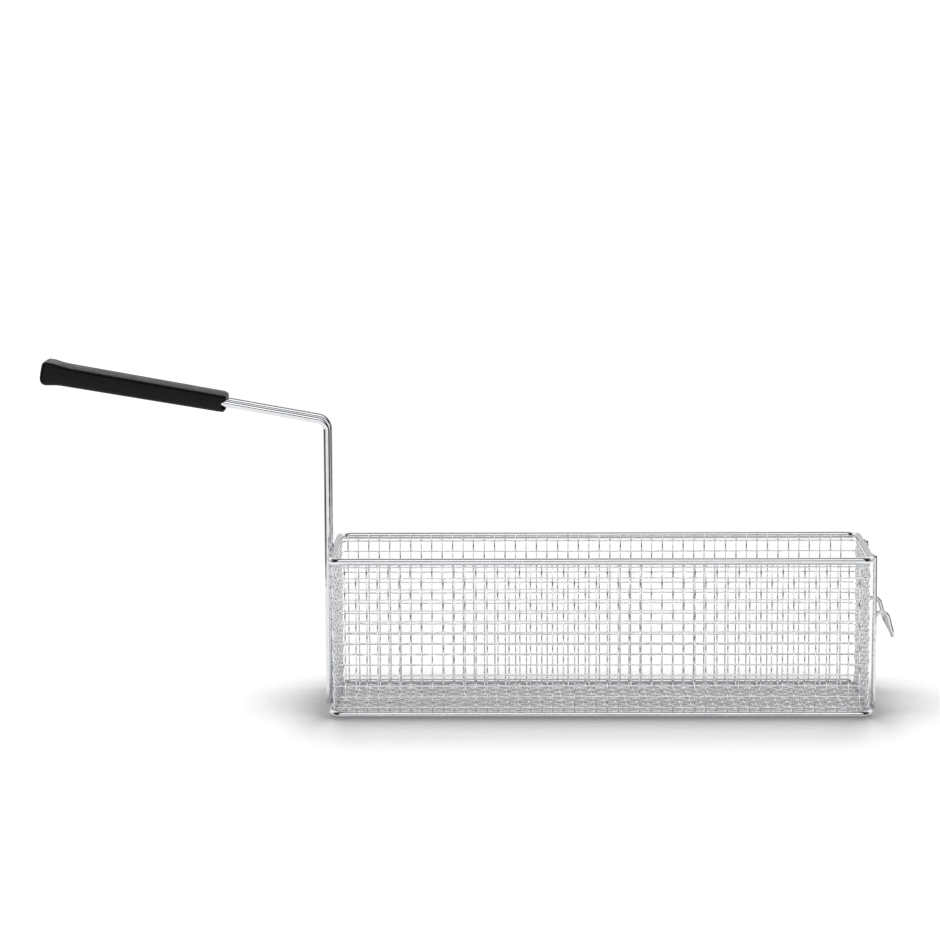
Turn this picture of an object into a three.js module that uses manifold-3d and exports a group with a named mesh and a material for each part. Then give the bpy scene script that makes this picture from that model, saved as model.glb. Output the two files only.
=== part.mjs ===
// Deep-fryer basket: a long, narrow mesh box held by two wire rims, with a twin-rod handle
// and a moulded grip at one end, and a wire hook for the tank's rail at the other.
// Millimetres, +Z up, +X from the grip to the hook, symmetric about Y = 0.
// The group's origin is the bottom centre of the whole object's box.
import * as THREE from 'three';
import { mergeVertices } from 'three/addons/utils/BufferGeometryUtils.js';
import Module from 'manifold-3d';

const wasm = await Module();
wasm.setup();

// The mesh box and its rims
const meshLength = 363.8;         // over the outside of the mesh, along X
const meshWidth = 112;            // over the outside of the mesh, along Y
const basketHeight = 111.5;       // table to the top of the top rim
const meshThickness = 2;          // two crossing wires of 1 mm
const meshCornerRadius = 6;       // outside of the mesh at the upright corners
const meshBelowTop = 1;           // top of the top rim to the mesh's cut edge
const meshAboveTable = 1;         // table to the underside of the floor mesh
const topRimWire = 5;
const bottomRimWire = 5;

// The handle: two bent rods, and the grip on their ends
const handleWire = 5;
const handleSpread = 20;          // between the two rods' axes
const handleRise = 90.7;          // top rim's axis up to the corner of the bend
const handleSlope = 10.3;         // degrees above level, rising away from the basket
const handleBendRadius = 8;       // on the rod's axis
const handleReach = 70.8;         // corner of the bend to the front of the grip
const rodInsertion = 110;         // length of rod inside the grip
const gripLength = 131.4;
const gripWall = 1.2;             // plastic beside each rod
const gripCover = 1.8;            // plastic above each rod, at the grip's edges
const gripCrown = 2.6;            // rise of the top from its edges to its middle
const gripUnderFront = 3.4;       // plastic under each rod at the front
const gripUnderButt = 5;          // the same, where the butt's flare begins
const gripFlare = 2;              // extra depth at the butt
const gripFlareLength = 16;
const gripFrontCorner = 4;        // corner radii of the grip seen from above
const gripButtCorner = 3;

// The hook for the tank's rail, and the two stays that hold it
const hookWire = 3;
const hookSpread = 60;            // between the two legs' axes
const hookSpring = 63.6;          // height where the arches start
const hookArchRadius = 5;         // on the wire's axis
const hookLean = 12.5;            // degrees that the prongs lean outwards
const prongDrop = 11.9;           // from there down to the bar that joins the prongs
const hookCornerRadius = 4;       // where the prongs turn into the bar
const stayLap = 14.1;             // length of each stay beside its hook leg, below the arch
const stayHead = 1.2;             // from the top of the top rim down to the stays' upper ends

// Clearances and weld beads
const weldGap = 0.3;              // left between pieces that a weld joins
const gripFit = 0.3;              // all round each rod in the grip
const footGap = 1;                // from the table up to the ends of upright wires
const beadReach = 1.3;            // how far a weld bead stands past the wires it joins
const beadDepth = 2;              // half its thickness, across the joint
const lapBeadLength = 9;
const lapBeadWidth = 2.7;
const seamTolerance = 1e-4;       // vertices nearer than this are one vertex

const chrome = { color: 0xd4d6d8, roughness: 0.16, metalness: 1 };
const wovenWire = { color: 0xc3c5c8, roughness: 0.3, metalness: 1 };
const weldMetal = { color: 0xb9bbbe, roughness: 0.35, metalness: 1 };
const blackPlastic = { color: 0x26282b, roughness: 0.45, metalness: 0 };

const part = new THREE.Group();

function addPiece(name, geometry, finish) {
  const mesh = new THREE.Mesh(geometry, new THREE.MeshStandardMaterial(finish));
  mesh.name = name;
  part.add(mesh);
  return mesh;
}

function closedCopy(geometry) {
  const bare = geometry.clone();
  bare.deleteAttribute('normal');
  bare.deleteAttribute('uv');
  return mergeVertices(bare, seamTolerance);
}

function toSolid(geometry) {
  const closed = closedCopy(geometry);
  return new wasm.Manifold(new wasm.Mesh({
    numProp: 3,
    vertProperties: new Float32Array(closed.attributes.position.array),
    triVerts: new Uint32Array(closed.index.array),
  }));
}

function toGeometry(solid) {
  const mesh = solid.getMesh();
  const geometry = new THREE.BufferGeometry();
  geometry.setAttribute('position', new THREE.BufferAttribute(mesh.vertProperties, 3));
  geometry.setIndex(new THREE.BufferAttribute(mesh.triVerts, 1));
  return geometry;
}

// A wire's axis, known at a few stations: the ends of its straights and points round its bends.
class WirePath extends THREE.Curve {
  constructor(stations) {
    super();
    this.stations = stations;
  }

  station(u) {
    return this.stations[Math.round(u * (this.stations.length - 1))];
  }

  getPointAt(u, target = new THREE.Vector3()) {
    return target.copy(this.station(u).point);
  }

  getTangentAt(u, target = new THREE.Vector3()) {
    return target.copy(this.station(u).tangent);
  }
}

// Stations round one bend of the given radius at a corner between two straights.
function bendStations(before, corner, after, radius, steps) {
  const inward = corner.clone().sub(before).normalize();
  const outward = after.clone().sub(corner).normalize();
  const turn = inward.angleTo(outward);
  const setBack = radius * Math.tan(turn / 2);
  const start = corner.clone().addScaledVector(inward, -setBack);
  const axis = inward.clone().cross(outward).normalize();
  const spoke = inward.clone().cross(axis).multiplyScalar(radius);
  const centre = start.clone().sub(spoke);
  return Array.from({ length: steps + 1 }, (_, i) => {
    const angle = turn * i / steps;
    return {
      point: centre.clone().add(spoke.clone().applyAxisAngle(axis, angle)),
      tangent: inward.clone().applyAxisAngle(axis, angle),
    };
  });
}

// Corners are { at, radius, steps }; the first and last are the wire's ends.
function wirePath(corners) {
  const last = corners.length - 1;
  const heading = (from, to) => to.at.clone().sub(from.at).normalize();
  const stations = [{ point: corners[0].at, tangent: heading(corners[0], corners[1]) }];
  for (let i = 1; i < last; i += 1) {
    const { at, radius, steps } = corners[i];
    stations.push(...bendStations(corners[i - 1].at, at, corners[i + 1].at, radius, steps));
  }
  stations.push({ point: corners[last].at, tangent: heading(corners[last - 1], corners[last]) });
  return new WirePath(stations);
}

// A many-sided section whose flats, not its corners, lie on the wire's radius.
function wireSection(diameter, sides) {
  const reach = diameter / 2 / Math.cos(Math.PI / sides);
  const points = Array.from({ length: sides }, (_, i) => {
    const angle = (i + 0.5) * 2 * Math.PI / sides;
    return new THREE.Vector2(reach * Math.cos(angle), reach * Math.sin(angle));
  });
  return new THREE.Shape(points);
}

function wireAlong(path, diameter, sides = 12) {
  const options = { steps: path.stations.length - 1, extrudePath: path };
  return new THREE.ExtrudeGeometry(wireSection(diameter, sides), options);
}

// A closed ring has no ends, so the extrusion's two lids are left out and its seam is merged.
function ringAlong(path, diameter, sides = 12) {
  const tube = wireAlong(path, diameter, sides);
  const wall = tube.groups[1];
  const position = tube.attributes.position;
  const first = wall.start * position.itemSize;
  const end = (wall.start + wall.count) * position.itemSize;
  const ring = new THREE.BufferGeometry();
  const wallOnly = position.array.slice(first, end);
  ring.setAttribute('position', new THREE.BufferAttribute(wallOnly, position.itemSize));
  return mergeVertices(ring, seamTolerance);
}

// Heights and reaches that pieces share
const topRimAxis = basketHeight - topRimWire / 2;
const bottomRimAxis = bottomRimWire / 2;
const rimSetOut = (wire) => weldGap + wire / 2;              // mesh face to the rim's axis
const topRimFace = meshLength / 2 + weldGap + topRimWire;    // outermost X of the top rim
const bottomRimFace = meshLength / 2 + weldGap + bottomRimWire;

function rimRing(wire, height) {
  const x = meshLength / 2 + rimSetOut(wire);
  const y = meshWidth / 2 + rimSetOut(wire);
  const radius = meshCornerRadius + rimSetOut(wire);
  const at = (px, py) => new THREE.Vector3(px, py, height);
  const bend = (px, py) => ({ at: at(px, py), radius, steps: 6 });
  const seam = { at: at(0, -y) };
  return ringAlong(wirePath([seam, bend(x, -y), bend(x, y), bend(-x, y), bend(-x, -y), seam]), wire);
}

// A flat sheet of mesh, shown as a plain plate as thick as its two crossing wires.
function plate(sizeX, sizeY, sizeZ, x, y, z) {
  return new THREE.BoxGeometry(sizeX, sizeY, sizeZ).translate(x, y, z);
}

const meshTop = basketHeight - meshBelowTop;
const wallHeight = meshTop - meshAboveTable;
const wallMiddle = (meshTop + meshAboveTable) / 2;

function longWall(side) {
  const length = meshLength - 2 * meshCornerRadius - 2 * weldGap;
  const y = side * (meshWidth - meshThickness) / 2;
  return plate(length, meshThickness, wallHeight, 0, y, wallMiddle);
}

// The end walls carry the basket's upright corners, bent round to meet the long walls.
function endWall(side) {
  const x = meshLength / 2;
  const y = meshWidth / 2;
  const r = meshCornerRadius;
  const inner = r - meshThickness;
  const shape = new THREE.Shape();
  shape.moveTo(x - r, -y);
  shape.absarc(x - r, -y + r, r, -Math.PI / 2, 0, false);
  shape.absarc(x - r, y - r, r, 0, Math.PI / 2, false);
  shape.lineTo(x - r, y - meshThickness);
  shape.absarc(x - r, y - r, inner, Math.PI / 2, 0, true);
  shape.absarc(x - r, -y + r, inner, 0, -Math.PI / 2, true);
  shape.closePath();
  const wall = new THREE.ExtrudeGeometry(shape, {
    depth: wallHeight,
    bevelEnabled: false,
    curveSegments: 5,
  });
  wall.translate(0, 0, meshAboveTable);
  return side > 0 ? wall : wall.rotateZ(Math.PI);
}

function floorSheet() {
  const x = meshLength / 2 - meshThickness - weldGap;
  const y = meshWidth / 2 - meshThickness - weldGap;
  const r = meshCornerRadius - meshThickness - weldGap;
  const shape = new THREE.Shape();
  shape.absarc(x - r, -y + r, r, -Math.PI / 2, 0, false);
  shape.absarc(x - r, y - r, r, 0, Math.PI / 2, false);
  shape.absarc(-x + r, y - r, r, Math.PI / 2, Math.PI, false);
  shape.absarc(-x + r, -y + r, r, Math.PI, 1.5 * Math.PI, false);
  shape.closePath();
  const sheet = new THREE.ExtrudeGeometry(shape, {
    depth: meshThickness,
    bevelEnabled: false,
    curveSegments: 4,
  });
  return sheet.translate(0, 0, meshAboveTable);
}

// The handle rods touch both rims, and so lean by the difference between the rims' wires.
const slope = THREE.MathUtils.degToRad(handleSlope);
const rodAtTopRim = -(topRimFace + weldGap + handleWire / 2);
const rodAtBottomRim = -(bottomRimFace + weldGap + handleWire / 2);
const rodLean = (rodAtTopRim - rodAtBottomRim) / (topRimAxis - bottomRimAxis);
const rodX = (height) => rodAtTopRim + rodLean * (height - topRimAxis);
const bendHeight = topRimAxis + handleRise;

const onRod = (side, height) => new THREE.Vector3(rodX(height), side * handleSpread / 2, height);

function rodPath(side) {
  const foot = onRod(side, footGap);
  const corner = onRod(side, bendHeight);
  const along = new THREE.Vector3(-Math.cos(slope), 0, Math.sin(slope));
  const end = corner.clone().addScaledVector(along, handleReach + rodInsertion);
  return wirePath([{ at: foot }, { at: corner, radius: handleBendRadius, steps: 8 }, { at: end }]);
}

// The grip is drawn in its own frame: X along the rods from its front to its butt,
// Y across, Z square to the rods, with the rods' axes at Z = 0.
const channelRadius = handleWire / 2 + gripFit;
const gripWidth = handleSpread + 2 * (channelRadius + gripWall);
const gripEdge = channelRadius + gripCover;
const gripTop = gripEdge + gripCrown;
const gripButtDepth = channelRadius + gripUnderButt + gripFlare;

// Lay a shape's X along the grip and its Y upwards, and extrude it across the grip.
function acrossGrip(shape) {
  const options = { depth: gripWidth, bevelEnabled: false, curveSegments: 6 };
  return new THREE.ExtrudeGeometry(shape, options).rotateX(Math.PI / 2).translate(0, gripWidth / 2, 0);
}

function gripSideOutline() {
  const front = -(channelRadius + gripUnderFront);
  const waist = -(channelRadius + gripUnderButt);
  const nose = 1.6;               // rounding of the front's lower lip
  const heel = 3;                 // rounding of the butt, below and above
  const shape = new THREE.Shape();
  shape.moveTo(0, gripTop);
  shape.lineTo(0, front + nose);
  shape.quadraticCurveTo(0, front, nose, front);
  shape.lineTo(gripLength - gripFlareLength, waist);
  shape.quadraticCurveTo(gripLength - gripFlareLength / 2, waist, gripLength - heel, -gripButtDepth);
  shape.quadraticCurveTo(gripLength, -gripButtDepth, gripLength, heel - gripButtDepth);
  shape.lineTo(gripLength, gripTop - heel);
  shape.quadraticCurveTo(gripLength, gripTop, gripLength - heel, gripTop);
  shape.closePath();
  return shape;
}

function gripPlanOutline() {
  const y = gripWidth / 2;
  const shape = new THREE.Shape();
  shape.moveTo(gripFrontCorner, -y);
  shape.absarc(gripLength - gripButtCorner, -y + gripButtCorner, gripButtCorner, -Math.PI / 2, 0, false);
  shape.absarc(gripLength - gripButtCorner, y - gripButtCorner, gripButtCorner, 0, Math.PI / 2, false);
  shape.absarc(gripFrontCorner, y - gripFrontCorner, gripFrontCorner, Math.PI / 2, Math.PI, false);
  shape.absarc(gripFrontCorner, -y + gripFrontCorner, gripFrontCorner, Math.PI, 1.5 * Math.PI, false);
  shape.closePath();
  return shape;
}

// The section across the grip: upright sides under a crowned top.
function gripSection() {
  const y = gripWidth / 2;
  const crownRadius = (y * y + gripCrown * gripCrown) / (2 * gripCrown);
  const halfAngle = Math.asin(y / crownRadius);
  const middle = Math.PI / 2;
  const shape = new THREE.Shape();
  shape.moveTo(-y, -gripButtDepth);
  shape.lineTo(y, -gripButtDepth);
  shape.absarc(0, gripTop - crownRadius, crownRadius, middle - halfAngle, middle + halfAngle, false);
  shape.closePath();
  return shape;
}

function gripBody() {
  const side = toSolid(acrossGrip(gripSideOutline()));
  const depth = gripTop + gripButtDepth;
  const planOptions = { depth, bevelEnabled: false, curveSegments: 5 };
  const plan = new THREE.ExtrudeGeometry(gripPlanOutline(), planOptions).translate(0, 0, -gripButtDepth);
  const sectionOptions = { depth: gripLength, bevelEnabled: false, curveSegments: 12 };
  const section = new THREE.ExtrudeGeometry(gripSection(), sectionOptions);
  section.rotateX(Math.PI / 2).rotateZ(Math.PI / 2);
  let grip = side.intersect(toSolid(plan)).intersect(toSolid(section));
  for (const y of [-handleSpread / 2, handleSpread / 2]) {
    const mouth = new THREE.Vector3(-rodInsertion, y, 0);
    const blindEnd = new THREE.Vector3(rodInsertion + gripFit, y, 0);
    const channel = wireAlong(wirePath([{ at: mouth }, { at: blindEnd }]), 2 * channelRadius);
    grip = grip.subtract(toSolid(channel));
  }
  const geometry = toGeometry(grip);
  geometry.rotateY(-slope).rotateZ(Math.PI);
  const reachX = rodX(bendHeight) - handleReach * Math.cos(slope);
  return geometry.translate(reachX, 0, bendHeight + handleReach * Math.sin(slope));
}

// One wire: up a leg, over an arch, down a prong, along the bar, and back the same way.
const hookX = bottomRimFace + weldGap + hookWire / 2;
const stayX = topRimFace + weldGap + hookWire / 2;

function hookPath() {
  const lean = THREE.MathUtils.degToRad(hookLean);
  const y = hookSpread / 2;
  // An arch of nearly half a turn is two bends, whose corners meet at its crown.
  const halfTurn = (Math.PI - lean) / 2;
  const crownRise = hookArchRadius * Math.tan(halfTurn / 2);
  const at = (x, py, z) => new THREE.Vector3(x, py, z);
  const legCorner = at(hookX, 0, hookSpring + crownRise);
  const crossing = at(Math.cos(Math.PI / 2 - halfTurn), 0, Math.sin(Math.PI / 2 - halfTurn));
  const prongCorner = legCorner.clone().addScaledVector(crossing, 2 * crownRise);
  const tipHeight = hookSpring - prongDrop;
  const drop = prongCorner.z - tipHeight;
  const tip = at(prongCorner.x + drop * Math.tan(lean), 0, tipHeight);
  const place = (point, side, radius, steps) => ({ at: at(point.x, side * y, point.z), radius, steps });
  const oneSide = (side) => [
    place(at(hookX, 0, footGap), side, 0, 0),
    place(legCorner, side, hookArchRadius, 5),
    place(prongCorner, side, hookArchRadius, 5),
    place(tip, side, hookCornerRadius, 5),
  ];
  return wirePath([...oneSide(-1), ...oneSide(1).reverse()]);
}

// Each stay stands beside its hook leg, one weld gap away.
const stayOffset = Math.sqrt((hookWire + weldGap) ** 2 - (hookX - stayX) ** 2);
const stayY = hookSpread / 2 + stayOffset;

// A bead of weld metal round the point where an upright wire crosses a rim.
function crossingBead(x, y, height, uprightWire, rimWire, cutters) {
  const bead = new THREE.SphereGeometry(1, 20, 12);
  const tall = Math.min(rimWire / 2 + beadReach, height - weldGap);
  bead.scale(beadDepth, uprightWire / 2 + beadReach, tall).translate(x, y, height);
  return toGeometry(cutters.reduce((solid, cutter) => solid.subtract(cutter), toSolid(bead)));
}

// A bead in the outer groove between a stay and the hook leg beside it.
function lapBead(side, cutters) {
  const across = new THREE.Vector2(hookX - stayX, -side * stayOffset).normalize();
  const outward = new THREE.Vector2(Math.abs(across.y), side * across.x);
  const middle = new THREE.Vector2((hookX + stayX) / 2, side * (hookSpread / 2 + stayOffset / 2));
  middle.addScaledVector(outward, hookWire / 2);
  const bead = new THREE.SphereGeometry(1, 14, 12);
  bead.scale(lapBeadWidth / 2, lapBeadWidth / 2, lapBeadLength / 2);
  bead.translate(middle.x, middle.y, hookSpring - stayLap / 2);
  return toGeometry(cutters.reduce((solid, cutter) => solid.subtract(cutter), toSolid(bead)));
}

// A straight wire grown by the weld gap and run on past its ends, to cut the beads with.
function beadCutter(from, to, wire) {
  const past = to.clone().sub(from).setLength(2 * wire);
  const ends = [{ at: from.clone().sub(past) }, { at: to.clone().add(past) }];
  return toSolid(wireAlong(wirePath(ends), wire + 2 * weldGap));
}

function rimCutter(side, wire, height) {
  const x = side * (meshLength / 2 + rimSetOut(wire));
  const y = meshWidth / 2 - meshCornerRadius;
  return beadCutter(new THREE.Vector3(x, -y, height), new THREE.Vector3(x, y, height), wire);
}

const sides = [['front', -1], ['back', 1]];

addPiece('top_rim', rimRing(topRimWire, topRimAxis), chrome);
addPiece('bottom_rim', rimRing(bottomRimWire, bottomRimAxis), chrome);
addPiece('floor_mesh', floorSheet(), wovenWire);
addPiece('handle_end_mesh', endWall(-1), wovenWire);
addPiece('hook_end_mesh', endWall(1), wovenWire);
addPiece('grip', gripBody(), blackPlastic);
addPiece('hook_wire', wireAlong(hookPath(), hookWire), chrome);

for (const [name, side] of sides) {
  addPiece(`${name}_mesh`, longWall(side), wovenWire);

  addPiece(`handle_rod_${name}`, wireAlong(rodPath(side), handleWire), chrome);
  const rodCutter = beadCutter(onRod(side, footGap), onRod(side, topRimAxis), handleWire);
  const rodY = side * handleSpread / 2;
  const topCut = [rodCutter, rimCutter(-1, topRimWire, topRimAxis)];
  const bottomCut = [rodCutter, rimCutter(-1, bottomRimWire, bottomRimAxis)];
  const topX = -topRimFace - weldGap / 2;
  const bottomX = -bottomRimFace - weldGap / 2;
  const rodTopBead = crossingBead(topX, rodY, topRimAxis, handleWire, topRimWire, topCut);
  const rodFootBead = crossingBead(bottomX, rodY, bottomRimAxis, handleWire, bottomRimWire, bottomCut);
  addPiece(`weld_rod_top_${name}`, rodTopBead, weldMetal);
  addPiece(`weld_rod_foot_${name}`, rodFootBead, weldMetal);

  const legY = side * hookSpread / 2;
  const stayFoot = new THREE.Vector3(stayX, side * stayY, hookSpring - stayLap);
  const stayTop = new THREE.Vector3(stayX, side * stayY, basketHeight - stayHead);
  const stay = wirePath([{ at: stayFoot }, { at: stayTop }]);
  addPiece(`hook_stay_${name}`, wireAlong(stay, hookWire), chrome);
  const legFoot = new THREE.Vector3(hookX, legY, footGap);
  const legTop = new THREE.Vector3(hookX, legY, hookSpring);
  const legCutter = beadCutter(legFoot, legTop, hookWire);
  const stayCutter = beadCutter(stayFoot, stayTop, hookWire);
  const legCut = [legCutter, rimCutter(1, bottomRimWire, bottomRimAxis)];
  const stayCut = [stayCutter, rimCutter(1, topRimWire, topRimAxis)];
  const legBead = crossingBead(-bottomX, legY, bottomRimAxis, hookWire, bottomRimWire, legCut);
  const stayBead = crossingBead(-topX, side * stayY, topRimAxis, hookWire, topRimWire, stayCut);
  addPiece(`weld_hook_foot_${name}`, legBead, weldMetal);
  addPiece(`weld_stay_top_${name}`, stayBead, weldMetal);
  addPiece(`weld_stay_hook_${name}`, lapBead(side, [legCutter, stayCutter]), weldMetal);
}

const box = new THREE.Box3().setFromObject(part);
part.position.x = -(box.min.x + box.max.x) / 2;

export default part;
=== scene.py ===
# Deep-fryer basket: a woven wire box on a plated wire frame, a twin-rod handle with a
# moulded grip, and a wire hook for the tank's rail. It stands in the CAD's own frame; sizes
# are written in mm and turned to metres as each piece is made, and the room is in metres.
import math
import random

import bmesh
import bpy
import numpy as np
from mathutils import Matrix, Vector, noise


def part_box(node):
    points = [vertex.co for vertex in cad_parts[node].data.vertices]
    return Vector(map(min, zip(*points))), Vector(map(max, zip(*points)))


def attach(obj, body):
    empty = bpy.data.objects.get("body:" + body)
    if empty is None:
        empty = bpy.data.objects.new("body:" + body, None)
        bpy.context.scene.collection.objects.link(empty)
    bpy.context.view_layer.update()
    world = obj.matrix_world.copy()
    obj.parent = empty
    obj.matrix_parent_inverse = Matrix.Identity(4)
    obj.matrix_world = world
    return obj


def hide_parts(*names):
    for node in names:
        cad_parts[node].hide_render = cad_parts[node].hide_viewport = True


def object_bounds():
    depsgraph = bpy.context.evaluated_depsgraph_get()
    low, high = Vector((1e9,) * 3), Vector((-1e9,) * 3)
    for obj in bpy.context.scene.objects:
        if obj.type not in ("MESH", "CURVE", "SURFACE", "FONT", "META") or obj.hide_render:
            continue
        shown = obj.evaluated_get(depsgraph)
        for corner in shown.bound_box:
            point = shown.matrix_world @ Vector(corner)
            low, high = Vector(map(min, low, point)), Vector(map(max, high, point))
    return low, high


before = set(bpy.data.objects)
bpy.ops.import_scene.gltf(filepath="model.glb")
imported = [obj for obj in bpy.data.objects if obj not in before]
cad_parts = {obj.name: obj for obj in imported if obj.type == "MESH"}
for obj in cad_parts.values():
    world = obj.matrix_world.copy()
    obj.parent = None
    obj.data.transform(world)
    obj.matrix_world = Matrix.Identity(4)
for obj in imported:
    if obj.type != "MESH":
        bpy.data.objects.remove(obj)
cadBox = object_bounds()
print("frame:", len(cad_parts), "CAD nodes")

mm = 0.001
smoothBelow = 50               # degrees: a wire's round side shades smooth, its sheared end stays sharp


def boxInMm(node):
    low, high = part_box(node)
    return low / mm, high / mm


rimLow, rimHigh = boxInMm("top_rim")
middleX = (rimLow.x + rimHigh.x) / 2           # the basket's own middle, mm along X
tableTop = cadBox[0].z / mm


def linearColour(hexText):
    # sRGB hex to the linear colour the shader wants
    parts = [int(hexText[i:i + 2], 16) / 255 for i in (1, 3, 5)]
    return [p / 12.92 if p <= 0.04045 else ((p + 0.055) / 1.055) ** 2.4 for p in parts] + [1.0]


def addNode(tree, kind, settings=None, stops=None, **sockets):
    # a socket given as (node, name) is linked, anything else is set as its value; i0, i1 ... are
    # numbered sockets, and stops are (place, grey or colour) for a colour ramp
    node = tree.nodes.new(kind)
    for key, value in (settings or {}).items():
        setattr(node, key, value)
    for key, value in sockets.items():
        numbered = key[0] == "i" and key[1:].isdigit()
        socket = node.inputs[int(key[1:]) if numbered else key.replace("_", " ")]
        if isinstance(value, tuple) and hasattr(value[0], "outputs"):
            tree.links.new(value[0].outputs[value[1]], socket)
        else:
            socket.default_value = value
    for number, (place, tone) in enumerate(stops or []):
        elements = node.color_ramp.elements
        stop = elements[number] if number < 2 else elements.new(place)
        stop.position = place
        stop.color = tone if isinstance(tone, list) else [tone, tone, tone, 1.0]
    return node


def newObject(name, data):
    made = bpy.data.objects.new(name, data)
    bpy.context.collection.objects.link(made)
    return made


def newMaterial(name):
    material = bpy.data.materials.new(name)
    material.use_nodes = True
    material.node_tree.nodes.clear()
    return material, material.node_tree


def bentWire(corners, closed=False, step=6.0, arcDegrees=7.5):
    # corners are (x, y, z, bend radius) in mm; gives points along the wire's middle
    spots = [Vector(c[:3]) for c in corners]
    count = len(corners)
    points = []
    for i, corner in enumerate(corners):
        here, radius = spots[i], corner[3]
        if radius <= 0 or (not closed and i in (0, count - 1)):
            points.append(here)
            continue
        into = (here - spots[i - 1]).normalized()
        out = (spots[(i + 1) % count] - here).normalized()
        turn = into.angle(out)
        reach = radius * math.tan(turn / 2)
        inward = (out - into * into.dot(out)).normalized()
        middle = here - into * reach + inward * radius
        bends = max(2, round(math.degrees(turn) / arcDegrees))
        for k in range(bends + 1):
            a = turn * k / bends
            points.append(middle - inward * radius * math.cos(a) + into * radius * math.sin(a))
    if closed:
        points.append(points[0])
    filled = [points[0]]
    for a, b in zip(points, points[1:]):
        gap = (b - a).length
        if gap < 1e-4:
            continue
        cuts = max(1, round(gap / step))
        filled += [a.lerp(b, k / cuts) for k in range(1, cuts + 1)]
    if closed:
        filled.pop()
    return np.array([list(p) for p in filled])


def unit(rows):
    return rows / np.linalg.norm(rows, axis=-1, keepdims=True)


def tangentsOf(points, closed):
    if closed:
        return unit(np.roll(points, -1, 0) - np.roll(points, 1, 0))
    return unit(np.gradient(points, axis=0))


def tube(points, radius, sides, closed=False, sideways=None, chamfer=0.0):
    # a round wire along points (mm); gives vertices, faces and (along, around) for each corner
    along = tangentsOf(points, closed)
    if sideways is None:
        first = Vector(along[0]).orthogonal().normalized()
        rows = [np.array(first)]
        for i in range(1, len(points)):
            turn = Vector(along[i - 1]).rotation_difference(Vector(along[i]))
            rows.append(np.array(turn @ Vector(rows[-1])))
        across = np.array(rows)
    else:
        across = np.tile(np.array(sideways, float), (len(points), 1))
    across = unit(across - along * np.sum(across * along, axis=1, keepdims=True))
    upward = np.cross(along, across)
    radii = np.full(len(points), float(radius))
    if not closed and chamfer > 0:
        # the sheared end keeps a small soft edge
        for end, nextTo, sign in ((0, 1, 1), (-1, -2, -1)):
            tip = points[end].copy()
            soft = [(0.0, radius - chamfer), (0.3 * chamfer, radius - 0.3 * chamfer), (chamfer, radius)]
            rows = [tip + sign * along[end] * d for d, _ in soft]
            widths = [w for _, w in soft]
            if end == 0:
                points = np.vstack([rows, points[1:]])
                across = np.vstack([[across[0]] * 3, across[1:]])
                upward = np.vstack([[upward[0]] * 3, upward[1:]])
                radii = np.concatenate([widths, radii[1:]])
            else:
                points = np.vstack([points[:-1], rows[::-1]])
                across = np.vstack([across[:-1], [across[-1]] * 3])
                upward = np.vstack([upward[:-1], [upward[-1]] * 3])
                radii = np.concatenate([radii[:-1], widths[::-1]])
    count = len(points)
    angle = np.arange(sides) * 2 * math.pi / sides
    ring = (across[:, None, :] * np.cos(angle)[None, :, None]
            + upward[:, None, :] * np.sin(angle)[None, :, None])
    vertices = (points[:, None, :] + ring * radii[:, None, None]).reshape(-1, 3)
    spans = count if closed else count - 1
    i, j = np.meshgrid(np.arange(spans), np.arange(sides), indexing="ij")
    nextRing, nextSide = (i + 1) % count, (j + 1) % sides
    faces = np.stack([i * sides + j, i * sides + nextSide,
                      nextRing * sides + nextSide, nextRing * sides + j], -1).reshape(-1, 4).tolist()
    steps = np.linalg.norm(np.diff(points, axis=0, append=points[:1] if closed else points[-1:]), axis=1)
    run = np.concatenate([[0.0], np.cumsum(steps)])
    around = 2 * math.pi * radius / sides
    places = np.stack([
        np.stack([run[i], j * around], -1), np.stack([run[i], (j + 1) * around], -1),
        np.stack([run[i + 1], (j + 1) * around], -1), np.stack([run[i + 1], j * around], -1),
    ], 2).reshape(-1, 2).tolist()
    if not closed:
        for end, base in ((0, 0), (-1, (count - 1) * sides)):
            hub = len(vertices)
            vertices = np.vstack([vertices, points[end]])
            for k in range(sides):
                a, b = base + k, base + (k + 1) % sides
                faces.append([hub, b, a] if end == 0 else [hub, a, b])
                places += [[run[end], 0.0], [run[end], k * around], [run[end], (k + 1) * around]]
    return vertices, faces, places


def makePiece(name, shapes, material):
    # joins several tubes into one piece, in metres, with its run along the wire kept as a map
    vertices, faces, places, shift = [], [], [], 0
    for points, sides, spots in shapes:
        vertices.append(points)
        faces += [[v + shift for v in f] for f in sides]
        places += spots
        shift += len(points)
    mesh = bpy.data.meshes.new(name)
    mesh.from_pydata((np.vstack(vertices) * mm).tolist(), [], faces)
    runMap = mesh.uv_layers.new(name="wireRun")
    runMap.data.foreach_set("uv", (np.array(places) * mm).ravel())
    mesh.polygons.foreach_set("use_smooth", [True] * len(mesh.polygons))
    mesh.set_sharp_from_angle(angle=math.radians(smoothBelow))
    mesh.materials.append(material)
    mesh.validate()
    return newObject(name, mesh)


def finishPiece(piece, slotName, *nodes):
    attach(piece, "root")
    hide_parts(*nodes)
    return piece


def drawnLines(tree, look, detail):
    # long thin marks that the drawing die leaves along a wire
    run = addNode(tree, "ShaderNodeUVMap", {"uv_map": "wireRun"})
    stretch = addNode(tree, "ShaderNodeMapping", Vector=(run, "UV"),
                      Scale=(1 / (look["drawRunMm"] * mm), 1 / (look["drawLineMm"] * mm), 1))
    return addNode(tree, "ShaderNodeTexNoise", Vector=(stretch, "Vector"), Scale=1.0, Detail=detail)


platedLook = {"tone": "#e4e5e7", "dull": "#d5d7da", "roughness": (0.03, 0.09), "drawLineMm": 0.45,
              "drawRunMm": 30, "lineDepthMm": 0.06, "wavesMm": 16, "waveDepthMm": 0.9, "spotMm": 1.6}


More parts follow.
